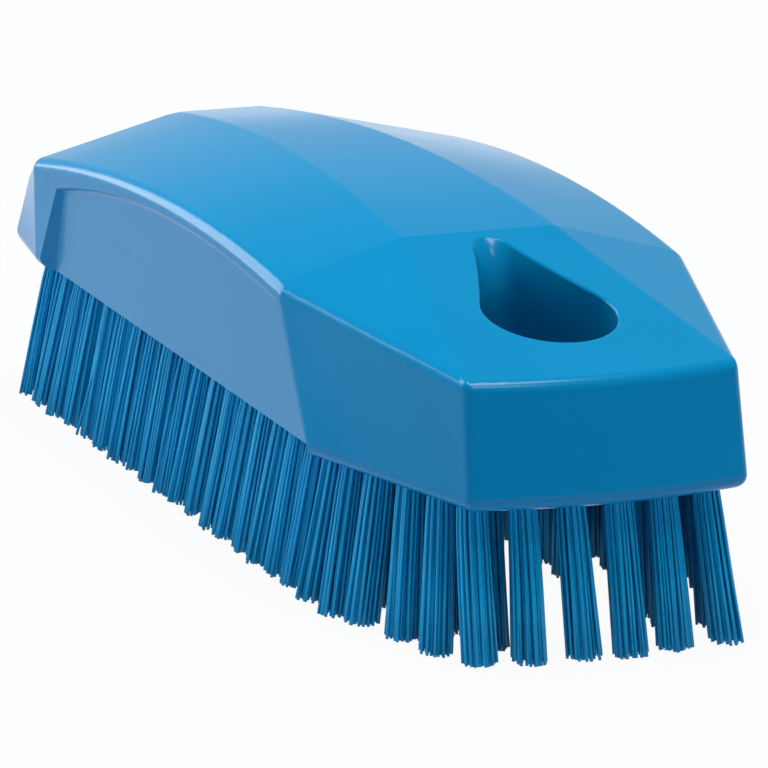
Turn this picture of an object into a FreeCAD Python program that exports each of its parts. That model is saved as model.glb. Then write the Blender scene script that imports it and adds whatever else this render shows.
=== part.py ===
"""Nail brush: a moulded plastic block with tufts of filament held by flat wire staples.

Millimetres. The brush stands on its tufts: z = 0 at the tips, +X runs along the length to the end
with the hanging hole, +Z is up. Values held for both ends are listed as hole end, plain end. Places
along the length are measured from the block's own middle, and the origin of the finished solids is
the middle of the whole brush, tuft tips included.
"""
import FreeCAD
import Part
import math
import os

V = FreeCAD.Vector
HOLE_END = 1
PLAIN_END = -1
ENDS = (HOLE_END, PLAIN_END)
SIDES = (1, -1)


def by_end(hole_end, plain_end):
    return {HOLE_END: hole_end, PLAIN_END: plain_end}


# Tufts
TUFT_LENGTH = 16.8
TUFT_HOLE_D = 3.3
TUFT_HOLE_DEPTH = 7.0
TUFT_FIT = 0.04
TUFT_NECK_D = 2.95
TUFT_TIP_D = 3.9
TUFT_PITCH = 5.3
ROWS = 24
FIRST_ROW_X = -49.8
LAST_ROW_X = 51.6
ROW_BOW = by_end(1.2, 0.5)
LEAN_END = by_end(4.6, 1.6)
LEAN_SIDE = 2.4
EDGE_MARGIN = 3.1
CORNER_MARGIN = by_end(4.4, 3.1)

# Staples, pressed across the holes and bitten into their walls
STAPLE_THICK = 0.4
STAPLE_HEIGHT = 1.8
STAPLE_BITE = 0.3
STAPLE_COVER = 0.7

# Block, heights above its underside
END_X = by_end(57.0, 58.0)
END_HALF_WIDTH = by_end(16.0, 21.7)
END_BULGE = by_end(1.8, 0.8)
CORNER_X = by_end(33.6, 46.1)
CORNER_HALF_WIDTH = by_end(24.0, 23.5)
END_TOP_X = by_end(53.8, 54.2)
END_TOP_HALF_WIDTH = by_end(15.6, 21.3)
END_TOP_BULGE = by_end(1.9, 1.0)
END_TOP_Z = by_end(13.2, 8.5)
SHOULDER_X = by_end(22.7, 47.2)
SHOULDER_HALF_WIDTH = by_end(23.7, 23.7)
SHOULDER_Z = by_end(16.2, 12.1)
CREASE_X = by_end(21.5, 50.4)
CREASE_HALF_WIDTH = by_end(9.0, 5.1)
CREASE_Z = by_end(20.0, 15.7)
ARCH_X = -14.0
ARCH_HALF_WIDTH = 7.05
ARCH_Z = 20.6
SIDE_TOP_Z = 17.0
EDGE_ROUND = 1.4

# Finger recess along each side
RECESS_DEPTH = 2.0
RECESS_TOP_DEPTH = 0.4
RECESS_LIP = 1.5
RECESS_END_SPLAY = 1.35
RECESS_PLAIN_SLANT = 0.52
RECESS_ROUND = 0.8

# Teardrop hanging hole, its narrow end rounded over from the top. The turns are in degrees.
HOLE_WIDE_X = 40.0
HOLE_WIDE_R = 7.25
HOLE_NARROW_X = 24.8
HOLE_NARROW_R = 2.3
HOLE_ROUND_REACH = 5.5
HOLE_ROUND_DROP = 8.0
HOLE_ROUND_TURNS = (0, 20, 40, 60, 75, 90)
HOLE_RIM_TURN = 20
HOLE_RIM_ROUND = 0.35
HOLE_WALL = 1.2

# How far a cutting tool reaches past what it cuts
TOOL_REACH = 1.0


def at_underside(x, y, z):
    """A point of the block, its height measured from the underside."""
    return V(x, y, TUFT_LENGTH + z)


def line(a, b):
    return Part.makeLine(a, b)


def arc(a, middle, b):
    return Part.Arc(a, middle, b).toShape()


def between(first, second):
    """The surface drawn straight across from one edge to another."""
    return Part.makeRuledSurface(first, second)


def corners(x, half_width, z):
    """The same corner of the block at both ends and on both sides."""
    points = {}
    for end in ENDS:
        for side in SIDES:
            points[end, side] = at_underside(end * x[end], side * half_width[end], z[end])
    return points


def moulded_body():
    """The closed outer form of the block, before the recesses and holes."""
    foot = corners(END_X, END_HALF_WIDTH, by_end(0, 0))
    waist = corners(CORNER_X, CORNER_HALF_WIDTH, by_end(0, 0))
    end_top = corners(END_TOP_X, END_TOP_HALF_WIDTH, END_TOP_Z)
    shoulder = corners(SHOULDER_X, SHOULDER_HALF_WIDTH, SHOULDER_Z)
    crease = corners(CREASE_X, CREASE_HALF_WIDTH, CREASE_Z)
    faces = []
    outline = []
    crease_arcs = []
    for side in SIDES:
        top = at_underside(ARCH_X, side * SHOULDER_HALF_WIDTH[HOLE_END], SIDE_TOP_Z)
        side_arc = arc(shoulder[PLAIN_END, side], top, shoulder[HOLE_END, side])
        crown = at_underside(ARCH_X, side * ARCH_HALF_WIDTH, ARCH_Z)
        crease_arc = arc(crease[PLAIN_END, side], crown, crease[HOLE_END, side])
        long_edge = line(waist[PLAIN_END, side], waist[HOLE_END, side])
        faces.append(between(long_edge, side_arc))
        faces.append(between(crease_arc, side_arc))
        crease_arcs.append(crease_arc)
        outline.append(long_edge)
    faces.append(between(*crease_arcs))
    for end in ENDS:
        low = at_underside(end * (END_X[end] + END_BULGE[end]), 0, 0)
        high = at_underside(end * (END_TOP_X[end] + END_TOP_BULGE[end]), 0, END_TOP_Z[end])
        foot_arc = arc(foot[end, -1], low, foot[end, 1])
        top_arc = arc(end_top[end, -1], high, end_top[end, 1])
        faces.append(between(foot_arc, top_arc))
        faces.append(between(line(crease[end, -1], crease[end, 1]), top_arc))
        outline.append(foot_arc)
        for side in SIDES:
            key = (end, side)
            corner_edge = line(foot[key], waist[key])
            faces.append(between(corner_edge, line(end_top[key], shoulder[key])))
            slope = [crease[key], end_top[key], shoulder[key], crease[key]]
            faces.append(Part.Face(Part.makePolygon(slope)))
            outline.append(corner_edge)
    faces.append(Part.Face(Part.Wire(Part.__sortEdges__(outline))))
    shell = Part.makeShell(faces)
    shell.sewShape()
    shell.reverse()
    body = Part.makeSolid(shell)
    body.fix(1e-4, 1e-4, 1e-4)
    return body.makeFillet(EDGE_ROUND, body.Edges)


def recess_half_width(z):
    """Half the width between the inner walls of the two recesses, at a height above the underside."""
    depth = RECESS_DEPTH + (RECESS_TOP_DEPTH - RECESS_DEPTH) * z / SIDE_TOP_Z
    return CORNER_HALF_WIDTH[HOLE_END] - depth


def recess_outline(y):
    """The recess seen from the side, its ends splayed outward with the distance from the middle."""
    low = -2 * TOOL_REACH
    splay = RECESS_END_SPLAY * (abs(y) - CORNER_HALF_WIDTH[HOLE_END])
    foot = {}
    top = {}
    for end in ENDS:
        top_z = SHOULDER_Z[end] - RECESS_LIP
        slant = (CORNER_X[end] - SHOULDER_X[HOLE_END]) / top_z if end == HOLE_END else RECESS_PLAIN_SLANT
        foot[end] = at_underside(end * (CORNER_X[end] + splay - slant * low), y, low)
        top[end] = at_underside(end * (CORNER_X[end] + splay - slant * top_z), y, top_z)
    crown = at_underside(ARCH_X, y, SIDE_TOP_Z - RECESS_LIP)
    return Part.Wire([
        line(foot[PLAIN_END], foot[HOLE_END]),
        line(foot[HOLE_END], top[HOLE_END]),
        arc(top[HOLE_END], crown, top[PLAIN_END]),
        line(top[PLAIN_END], foot[PLAIN_END]),
    ])


def bounds_wall(edge):
    """Whether an edge of the recess runs along the top or an end of its inner wall."""
    inside = all(abs(v.Y) < CORNER_HALF_WIDTH[HOLE_END] + TOOL_REACH for v in edge.Vertexes)
    return inside and max(v.Z for v in edge.Vertexes) > TUFT_LENGTH


def finger_recess(side):
    """The hollow cut into one side: a sloping wall under an arched lip."""
    low = -TOOL_REACH
    outer = CORNER_HALF_WIDTH[HOLE_END] + 2 * TOOL_REACH
    back = -END_X[PLAIN_END]
    section = [
        at_underside(back, side * recess_half_width(low), low),
        at_underside(back, side * recess_half_width(SIDE_TOP_Z), SIDE_TOP_Z),
        at_underside(back, side * outer, SIDE_TOP_Z),
        at_underside(back, side * outer, low),
        at_underside(back, side * recess_half_width(low), low),
    ]
    wedge = Part.Face(Part.makePolygon(section)).extrude(V(END_X[HOLE_END] - back, 0, 0))
    inner_side = recess_outline(side * (recess_half_width(0) - 2 * TOOL_REACH))
    outer_side = recess_outline(side * (outer + TOOL_REACH))
    window = Part.makeLoft([inner_side, outer_side], True, True)
    hollow = wedge.common(window)
    return hollow.makeFillet(RECESS_ROUND, [e for e in hollow.Edges if bounds_wall(e)])


def narrow_end(turn):
    """Where the hole's narrow end lies along the length, and how high, as its wall turns upright."""
    rim = math.radians(HOLE_RIM_TURN)
    now = math.radians(turn)
    x = HOLE_NARROW_X + HOLE_ROUND_REACH * (math.sin(now) - math.sin(rim))
    z = CREASE_Z[HOLE_END] - HOLE_ROUND_DROP * (math.cos(rim) - math.cos(now))
    return x, TUFT_LENGTH + z


def teardrop(narrow_x, z):
    """The outline of the hole at one height, its wide round toward the end of the brush."""
    tilt = (HOLE_WIDE_R - HOLE_NARROW_R) / (HOLE_WIDE_X - narrow_x)
    rise = math.sqrt(1 - tilt * tilt)
    a = V(HOLE_WIDE_X - HOLE_WIDE_R * tilt, HOLE_WIDE_R * rise, z)
    b = V(narrow_x - HOLE_NARROW_R * tilt, HOLE_NARROW_R * rise, z)
    c = V(b.x, -b.y, z)
    d = V(a.x, -a.y, z)
    return Part.Wire([
        line(a, b),
        arc(b, V(narrow_x - HOLE_NARROW_R, 0, z), c),
        line(c, d),
        arc(d, V(HOLE_WIDE_X + HOLE_WIDE_R, 0, z), a),
    ])


def with_hanging_hole(body):
    """The body with the hole cut through it and its upper rim rounded."""
    surface = body.Shells[0]
    upper = [teardrop(*narrow_end(turn)) for turn in HOLE_ROUND_TURNS]
    foot_x, foot_z = narrow_end(HOLE_ROUND_TURNS[-1])
    shaft = Part.Face(upper[-1]).extrude(V(0, 0, TUFT_LENGTH - TOOL_REACH - foot_z))
    body = body.cut(Part.makeLoft(upper, True, False)).cut(shaft)
    rim = []
    for edge in body.Edges:
        box = edge.BoundBox
        inside = box.XMin > foot_x - HOLE_ROUND_REACH - HOLE_WIDE_R and box.XMax < HOLE_WIDE_X + HOLE_WIDE_R + TOOL_REACH
        if inside and max(box.YMax, -box.YMin) < HOLE_WIDE_R + TOOL_REACH and box.ZMin > TUFT_LENGTH + TUFT_HOLE_DEPTH:
            middle = edge.valueAt((edge.FirstParameter + edge.LastParameter) / 2)
            if surface.distToShape(Part.Vertex(middle))[0] < 0.001:
                rim.append(edge)
    return body.makeFillet(HOLE_RIM_ROUND, rim)


def end_at(x):
    return HOLE_END if x > 0 else PLAIN_END


def row_reach(x):
    """How far from the middle line a row's outer tufts stand, at one place along the length."""
    end = end_at(x)
    past = abs(x) - CORNER_X[end]
    if past < 0:
        return recess_half_width(0) - EDGE_MARGIN
    share = past / (END_X[end] - CORNER_X[end])
    half = CORNER_HALF_WIDTH[end] + share * (END_HALF_WIDTH[end] - CORNER_HALF_WIDTH[end])
    return min(half - CORNER_MARGIN[end], recess_half_width(0) - EDGE_MARGIN)


def near_hanging_hole(x, y):
    """Whether a tuft hole here would break into the hanging hole."""
    steps = 12
    narrow_x = narrow_end(HOLE_ROUND_TURNS[-1])[0]
    wall = TUFT_HOLE_D / 2 + HOLE_WALL
    for step in range(steps + 1):
        share = step / steps
        centre = narrow_x + share * (HOLE_WIDE_X - narrow_x)
        radius = HOLE_NARROW_R + share * (HOLE_WIDE_R - HOLE_NARROW_R)
        if math.hypot(x - centre, y) < radius + wall:
            return True
    return False


def tuft_rows():
    """The centres of the tuft holes, a list for each crosswise row, bowed toward the ends."""
    rows = []
    for index in range(ROWS):
        x = FIRST_ROW_X + index * (LAST_ROW_X - FIRST_ROW_X) / (ROWS - 1)
        reach = row_reach(x)
        gaps = round(2 * reach / TUFT_PITCH)
        row = []
        for step in range(gaps + 1):
            y = -reach + step * 2 * reach / gaps
            bow = math.copysign(ROW_BOW[end_at(x)], x) * (x / LAST_ROW_X) ** 4 * (1 - (y / reach) ** 2)
            if not near_hanging_hole(x + bow, y):
                row.append(V(x + bow, y, 0))
        rows.append(row)
    return rows


def staple(centre):
    """A flat length of wire lying across the deep end of a tuft hole."""
    length = TUFT_HOLE_D + 2 * STAPLE_BITE
    base = TUFT_LENGTH + TUFT_HOLE_DEPTH - STAPLE_COVER - STAPLE_HEIGHT
    corner = V(centre.x - length / 2, centre.y - STAPLE_THICK / 2, base)
    return Part.makeBox(length, STAPLE_THICK, STAPLE_HEIGHT, corner)


def tuft(centre):
    """A folded bundle of filament: straight in its hole, then spreading and leaning outward."""
    mouth = V(centre.x, centre.y, TUFT_LENGTH)
    lean_x = LEAN_END[end_at(centre.x)] * (centre.x / LAST_ROW_X) ** 3
    lean_y = LEAN_SIDE * (centre.y / (recess_half_width(0) - EDGE_MARGIN)) ** 3
    along = V(lean_x, lean_y, -TUFT_LENGTH)
    spread = (TUFT_TIP_D - TUFT_NECK_D) / 2 / along.Length
    over = 2 * TOOL_REACH
    cone = Part.makeCone(
        TUFT_NECK_D / 2 - over * spread,
        TUFT_TIP_D / 2 + over * spread,
        along.Length + 2 * over,
        mouth - along * (over / along.Length),
        along,
    )
    half = TUFT_LENGTH
    slab = Part.makeBox(2 * half, 2 * half, TUFT_LENGTH, V(centre.x - half, centre.y - half, 0))
    shank = Part.makeCylinder(TUFT_HOLE_D / 2 - TUFT_FIT, TUFT_HOLE_DEPTH, mouth)
    return shank.fuse(cone.common(slab)).cut(staple(centre))


def block(rows):
    """The moulding with its recesses, hanging hole and tuft holes."""
    body = moulded_body()
    for side in SIDES:
        body = body.cut(finger_recess(side))
    body = with_hanging_hole(body)
    tools = []
    for row in rows:
        for centre in row:
            below = V(centre.x, centre.y, TUFT_LENGTH - TOOL_REACH)
            tools.append(Part.makeCylinder(TUFT_HOLE_D / 2, TUFT_HOLE_DEPTH + TOOL_REACH, below))
            tools.append(staple(centre))
    return body.cut(Part.makeCompound(tools))


def middle_x(shapes):
    """Where the middle of the whole brush lies along its length."""
    boxes = [shape.optimalBoundingBox(False, False) for shape in shapes]
    return (min(box.XMin for box in boxes) + max(box.XMax for box in boxes)) / 2


def main():
    os.makedirs("parts", exist_ok=True)
    rows = tuft_rows()
    nodes = {"block": block(rows)}
    for index, row in enumerate(rows, start=1):
        nodes[f"tuft_row_{index:02d}"] = Part.makeCompound([tuft(centre) for centre in row])
    nodes["staples"] = Part.makeCompound([staple(centre) for row in rows for centre in row])
    shift = V(-middle_x(nodes.values()), 0, 0)
    for name, shape in nodes.items():
        shape.translate(shift)
        shape.exportStep(f"parts/{name}.step")


main()
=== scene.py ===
import bpy
import math
import numpy as np
from mathutils import Matrix, Vector


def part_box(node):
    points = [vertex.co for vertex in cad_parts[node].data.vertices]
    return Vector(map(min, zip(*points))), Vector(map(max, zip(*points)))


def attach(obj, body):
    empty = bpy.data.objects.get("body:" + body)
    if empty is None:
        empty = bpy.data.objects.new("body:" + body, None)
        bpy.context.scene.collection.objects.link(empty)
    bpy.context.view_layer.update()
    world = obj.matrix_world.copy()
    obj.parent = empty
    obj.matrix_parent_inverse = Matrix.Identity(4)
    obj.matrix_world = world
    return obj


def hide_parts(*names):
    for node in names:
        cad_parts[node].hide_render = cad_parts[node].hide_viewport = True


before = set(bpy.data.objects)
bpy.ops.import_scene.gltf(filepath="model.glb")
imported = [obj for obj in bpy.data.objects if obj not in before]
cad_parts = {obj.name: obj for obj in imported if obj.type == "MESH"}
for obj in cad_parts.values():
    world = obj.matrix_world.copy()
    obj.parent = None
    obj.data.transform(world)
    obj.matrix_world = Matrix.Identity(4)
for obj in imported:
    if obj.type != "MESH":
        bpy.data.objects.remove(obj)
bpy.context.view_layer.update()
scene = bpy.context.scene
scene.view_settings.view_transform = "Standard"

# Block: one moulding of glossy blue polypropylene, arched and faceted on top, with a finger recess
# along each side and a teardrop hanging hole. The mould leaves its edges slightly rounded, and
# handling leaves faint scuffs on the gloss.
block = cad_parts["block"]
block_blue = (0.0, 0.24, 0.485, 1)
block_deep_blue = (0.0, 0.22, 0.455, 1)
block_ior = 1.27
best_gloss = 0.14
cloud_dulling = 0.1
scuff_dulling = 0.12
cloud_scale = 60.0
grain_scale = 2600.0
grain_depth = 0.0002
grain_strength = 0.04
scratch_turn = (0.0, 0.0, 0.6)
scratch_stretch = (45.0, 3200.0, 300.0)
scratch_edge = (0.68, 0.74)
handling_scale = 75.0
handling_edge = (0.56, 0.66)


class Value:
    """A shader node's output, which takes plain arithmetic."""

    def __init__(self, tree, socket):
        self.tree = tree
        self.socket = socket

    def node(self, kind, settings=None, output=0, **inputs):
        """Add any node: its settings first, then values or links for its inputs, by name or as _number."""
        made = self.tree.nodes.new(kind)
        for name, setting in (settings or {}).items():
            setattr(made, name, setting)
        for name, value in inputs.items():
            place = int(name[1:]) if name[0] == "_" else name.replace("_", " ")
            if isinstance(value, Value):
                self.tree.links.new(value.socket, made.inputs[place])
            else:
                made.inputs[place].default_value = value
        return Value(self.tree, made.outputs[output] if made.outputs else None)

    def math(self, operation, first, second):
        return self.node("ShaderNodeMath", {"operation": operation}, _0=first, _1=second)

    def __add__(self, other):
        return self.math("ADD", self, other)

    def __radd__(self, other):
        return self.math("ADD", other, self)

    def __sub__(self, other):
        return self.math("SUBTRACT", self, other)

    def __rsub__(self, other):
        return self.math("SUBTRACT", other, self)

    def __mul__(self, other):
        return self.math("MULTIPLY", self, other)

    def __rmul__(self, other):
        return self.math("MULTIPLY", other, self)

    def mix(self, low, high):
        """A colour between low and high, this value being the share of high."""
        return self.node("ShaderNodeMix", {"data_type": "RGBA"}, 2, _0=self, _6=low, _7=high)

    def rise(self, low, high):
        """A share that goes from 0 to 1 as this value goes from low to high."""
        return self.node("ShaderNodeMapRange", Value=self, From_Min=low, From_Max=high)

    def noise(self, scale, detail):
        """Soft random patches, this value being the place on the piece."""
        return self.node("ShaderNodeTexNoise", output="Fac", Vector=self, Scale=scale, Detail=detail)


def material(name):
    """An empty material, and a value to add its nodes with."""
    made = bpy.data.materials.new(name)
    made.use_nodes = True
    made.node_tree.nodes.clear()
    return made, Value(made.node_tree, None)


def surface(shader):
    """Make a shader the look of its material."""
    shader.node("ShaderNodeOutputMaterial", Surface=shader)


plastic, start = material("block_plastic")
place = start.node("ShaderNodeTexCoord", output="Object")
cloud = place.noise(cloud_scale, detail=3.0)
grain = place.noise(grain_scale, detail=2.0)
stroke = start.node("ShaderNodeMapping", Vector=place, Rotation=scratch_turn, Scale=scratch_stretch)
scratch = stroke.noise(1.0, detail=1.0).rise(*scratch_edge)
handled = place.noise(handling_scale, detail=1.0).rise(*handling_edge)
scuff = scratch * handled
bump = start.node("ShaderNodeBump", Strength=grain_strength, Distance=grain_depth, Height=grain)
surface(start.node(
    "ShaderNodeBsdfPrincipled",
    Base_Color=cloud.mix(block_deep_blue, block_blue),
    Roughness=best_gloss + cloud_dulling * cloud + scuff_dulling * scuff,
    IOR=block_ior,
    Normal=bump,
))
block.data.materials.clear()
block.data.materials.append(plastic)

# Staples: short lengths of flat stainless wire, each folded over by a tuft and driven across the deep
# end of its hole, where the ends bite into the plastic.
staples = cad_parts["staples"]
steel_grey = (0.62, 0.62, 0.6, 1)
wire_gloss = 0.25
drawing_scale = 3000.0
drawing_dulling = 0.15
steel, start = material("staple_steel")
drawn = start.node("ShaderNodeTexCoord", output="Object").noise(drawing_scale, detail=2.0)
surface(start.node(
    "ShaderNodeBsdfPrincipled",
    Base_Color=steel_grey,
    Metallic=1.0,
    Roughness=wire_gloss + drawing_dulling * drawn,
))
staples.data.materials.clear()
staples.data.materials.append(steel)

# Tufts: bundles of stiff blue polyester filament, cut to length, folded over a staple and pressed into
# the holes. They spread a little below the block, and the tips are cut slightly unevenly.
filament_dark = (0.0, 0.37, 0.66, 1)
filament_pale = (0.0, 0.47, 0.8, 1)
filament_gloss = 0.4
filament_ior = 1.35
filament_r = 0.00017
filament_sides = 5
hairpins = 34
mouth_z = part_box("block")[0].z
same_level = 1e-5
dice = np.random.default_rng(seed=11)

# How a tuft as a whole is turned, swayed and trimmed.
full_turn = 6.283
tuft_sway = 0.0002
tuft_trim = 0.00015

# How the hairpins lie in the hole, where the bundle's radius is 1 and the staple takes the middle.
golden_angle = 2.399963
lie_jitter = 0.04
staple_half_width = 0.28
shoulder_depth = 0.0014
fold_depth = 0.0002
inner_fold_depth = 0.0003
fold_shares = ((0.7, 0.3), (0.3, 0.7))

# How the legs open below the block, as shares of the way down and of the spread, and how they end.
leg_opening = ((0, 0), (0.2, 0.45), (0.55, 0.85), (1.0, 1.3))
leg_bend = 1.6
leg_wander = 0.0001
stray_share = 0.012
stray_wander = 6
leg_trim = 0.00022
most_trim = 0.0008

filament, start = material("tuft_filament")
shade = start.node("ShaderNodeAttribute", {"attribute_name": "shade"}, output="Fac")
surface(start.node(
    "ShaderNodeBsdfPrincipled",
    Base_Color=shade.mix(filament_dark, filament_pale),
    Roughness=filament_gloss,
    IOR=filament_ior,
))


def islands(mesh):
    """The vertex places of each separate solid in a mesh."""
    places = np.array([vertex.co for vertex in mesh.vertices])
    owner = np.arange(len(places))
    first_there = {}
    for index, key in enumerate(map(tuple, np.round(places, decimals=6))):
        owner[index] = first_there.setdefault(key, index)
    edges = np.array([owner[list(edge.vertices)] for edge in mesh.edges])
    settled = False
    while not settled:
        before = owner.copy()
        low = np.minimum(owner[edges[:, 0]], owner[edges[:, 1]])
        np.minimum.at(owner, edges[:, 0], low)
        np.minimum.at(owner, edges[:, 1], low)
        owner = owner[owner]
        settled = (owner == before).all()
    return [places[owner == index] for index in np.unique(owner)]


class Tuft:
    """One tuft: its deep end and its tips, measured on its solid, and how it is turned and trimmed."""

    def __init__(self, solid):
        heights = solid[:, 2]
        self.deep_z = heights.max()
        deep_end = solid[np.abs(heights - self.deep_z) < same_level]
        tips = solid[np.abs(heights) < same_level]
        self.root = ((deep_end.min(0) + deep_end.max(0)) / 2)[:2]
        self.foot = ((tips.min(0) + tips.max(0)) / 2)[:2]
        self.root_r = np.ptp(deep_end[:, 0]) / 2 - filament_r
        self.foot_r = np.ptp(tips[:, 1]) / 2 - filament_r
        self.turn = dice.random() * full_turn
        self.sway = dice.normal(0, tuft_sway, 2)
        self.trim = abs(dice.normal(0, tuft_trim))


def in_bundle(lie):
    """Pull a leg's lie back to the rim of the bundle where it is past it."""
    return lie / max(1.0, np.linalg.norm(lie))


def leg(tuft, lie, side):
    """Points down one leg of a hairpin, from beside the staple to the cut tip."""
    beside = in_bundle(np.array([lie[0], side * max(abs(lie[1]), staple_half_width)]))
    wander = dice.normal(0, leg_wander, 2)
    if dice.random() < stray_share:
        wander = wander * stray_wander
    tip_z = filament_r + min(tuft.trim + abs(dice.normal(0, leg_trim)), most_trim)
    points = [(*(tuft.root + beside * tuft.root_r), tuft.deep_z - shoulder_depth)]
    for down, opened in leg_opening:
        middle = tuft.root + (tuft.foot - tuft.root) * down
        spread = tuft.root_r + (tuft.foot_r - tuft.root_r) * opened
        bend = (wander + tuft.sway) * down ** leg_bend
        points.append((*(middle + lie * spread + bend), mouth_z * (1 - down) + tip_z * down))
    return points


def hairpin(tuft, number):
    """Points along one folded filament: up a leg, over the staple and down the other leg."""
    turn = tuft.turn + golden_angle * number
    out = math.sqrt((number + 0.5) / hairpins)
    lie = np.array([math.cos(turn) * out, abs(math.sin(turn)) * out]) + dice.normal(0, lie_jitter, 2)
    first = leg(tuft, in_bundle(lie), 1)
    second = leg(tuft, in_bundle(lie * (1, -1)), -1)
    first_top, second_top = np.array(first[0][:2]), np.array(second[0][:2])
    fold_z = tuft.deep_z - fold_depth - inner_fold_depth * (1 - out)
    fold = [(*(first_top * near + second_top * far), fold_z) for near, far in fold_shares]
    return np.array(first[::-1] + fold + second)


def tube_rings(line):
    """A ring of points around each point of a filament's middle line."""
    along = np.gradient(line, axis=0)
    along /= np.linalg.norm(along, axis=1, keepdims=True)
    across = np.cross(along, (1.0, 0.0, 0.0))
    across /= np.linalg.norm(across, axis=1, keepdims=True)
    square = np.cross(along, across)
    turns = np.arange(filament_sides) * 2 * math.pi / filament_sides
    cosines, sines = np.cos(turns)[None, :, None], np.sin(turns)[None, :, None]
    return line[:, None] + filament_r * (cosines * across[:, None] + sines * square[:, None])


def tube_faces(tubes, rings):
    """Corner numbers of the sides and the two ends of a number of tubes, each of so many rings."""
    corner = np.arange(filament_sides)
    after = (corner + 1) % filament_sides
    first = (np.arange(tubes) * rings * filament_sides)[:, None, None]
    last = first + (rings - 1) * filament_sides
    low = first + (np.arange(rings - 1) * filament_sides)[None, :, None]
    high = low + filament_sides
    walls = np.stack([low + corner, low + after, high + after, high + corner], -1)
    ends = np.concatenate([first[:, 0] + corner[::-1], last[:, 0] + corner])
    return walls.reshape(-1, 4).tolist() + ends.tolist()


for name in sorted(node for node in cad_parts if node.startswith("tuft_row")):
    tubes, shades = [], []
    for solid in islands(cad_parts[name].data):
        tuft = Tuft(solid)
        for number in range(hairpins):
            tubes.append(tube_rings(hairpin(tuft, number)))
            shades.append(dice.random())
    tubes = np.array(tubes)
    count, rings = tubes.shape[:2]
    mesh = bpy.data.meshes.new(name.replace("tuft", "filament"))
    mesh.from_pydata(tubes.reshape(-1, 3).tolist(), [], tube_faces(count, rings))
    mesh.shade_smooth()
    tint = mesh.attributes.new("shade", "FLOAT", "POINT")
    tint.data.foreach_set("value", np.repeat(np.array(shades, np.float32), rings * filament_sides))
    mesh.materials.append(filament)
    row = bpy.data.objects.new(mesh.name, mesh)
    scene.collection.objects.link(row)
    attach(row, "root")
    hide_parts(name)

# Floor: a plain white sweep that shows as white to the eye and in the gloss of the block. A small
# share of it is plain matt paint, which keeps the soft shadow under the tufts.
floor_width = 20.0
floor_paint = (0.5, 0.55, 0.68, 1)
floor_glow = (1, 1, 1, 1)
white_share = 0.95
bpy.ops.mesh.primitive_plane_add(size=floor_width)
floor = bpy.context.object
floor.name = "floor"
white, start = material("floor_white")
seen = start.node("ShaderNodeLightPath", output="Is Camera Ray")
seen = seen + start.node("ShaderNodeLightPath", output="Is Glossy Ray")
seen = seen + start.node("ShaderNodeLightPath", output="Is Transmission Ray")
paint = start.node("ShaderNodeBsdfDiffuse", Color=floor_paint)
glow = start.node("ShaderNodeEmission", Color=floor_glow, Strength=1.0)
surface(start.node("ShaderNodeMixShader", _0=white_share * seen, _1=paint, _2=glow))
floor.data.materials.append(white)

# Light: a large soft lamp overhead, a smaller one toward the end with the hole and one beside the
# plain end, in a dim room whose far wall is paler.
room_tint = (0.8, 0.88, 1, 1)
dim_strength = 0.18
pale_strength = 0.54
far_wall_way = (-0.9, 0.44, 0.0)
far_wall_side = (0.0, 0.8)
far_wall_top = (0.2, 0.55)

# Each lamp's name, place, size in metres and power in watts.
lamps = (
    ("top_lamp", (0.05, 0.05, 0.9), 0.42, 7.7),
    ("front_lamp", (0.5, 0.1, 0.8), 0.2, 1.0),
    ("side_lamp", (-0.8, -0.55, 0.35), 0.75, 9.2),
)
world = bpy.data.worlds.new("room")
scene.world = world
world.use_nodes = True
world.node_tree.nodes.clear()
start = Value(world.node_tree, None)
way = start.node("ShaderNodeTexCoord", output="Generated")
dot = {"operation": "DOT_PRODUCT"}
toward = start.node("ShaderNodeVectorMath", dot, "Value", _0=way, _1=far_wall_way)
height = start.node("ShaderNodeSeparateXYZ", output="Z", Vector=way)
far_wall = toward.rise(*far_wall_side) * (1 - height.rise(*far_wall_top))
dim = start.node("ShaderNodeBackground", Color=room_tint, Strength=dim_strength)
pale = start.node("ShaderNodeBackground", Color=room_tint, Strength=pale_strength)
room = start.node("ShaderNodeMixShader", _0=far_wall, _1=dim, _2=pale)
start.node("ShaderNodeOutputWorld", Surface=room)
for name, where, size, power in lamps:
    lamp = bpy.data.lights.new(name, "AREA")
    lamp.size = size
    lamp.energy = power
    holder = bpy.data.objects.new(name, lamp)
    holder.location = where
    holder.rotation_euler = (-Vector(where)).to_track_quat("-Z", "Y").to_euler()
    scene.collection.objects.link(holder)

# Camera: a long lens, low and near the end with the hole, tilted slightly. Its place and turn are
# fitted to points of the brush in the photo.
sensor_width = 36.0
picture_px = 768
focal_px = 8577
camera_place = (0.82299, -0.3739, 0.2742)
yaw, pitch, roll = math.radians(155.62), math.radians(16.06), math.radians(2.23)
lens = bpy.data.cameras.new("camera")
lens.sensor_width = sensor_width
lens.lens = focal_px * sensor_width / picture_px
camera = bpy.data.objects.new("camera", lens)
scene.collection.objects.link(camera)
scene.camera = camera
forward = Vector((math.cos(yaw) * math.cos(pitch), math.sin(yaw) * math.cos(pitch), -math.sin(pitch)))
level = Vector((math.sin(yaw), -math.cos(yaw), 0))
upright = level.cross(forward)
right = level * math.cos(roll) + upright * math.sin(roll)
up = upright * math.cos(roll) - level * math.sin(roll)
turned = Matrix((right, up, -forward)).transposed().to_4x4()
camera.matrix_world = Matrix.Translation(camera_place) @ turned
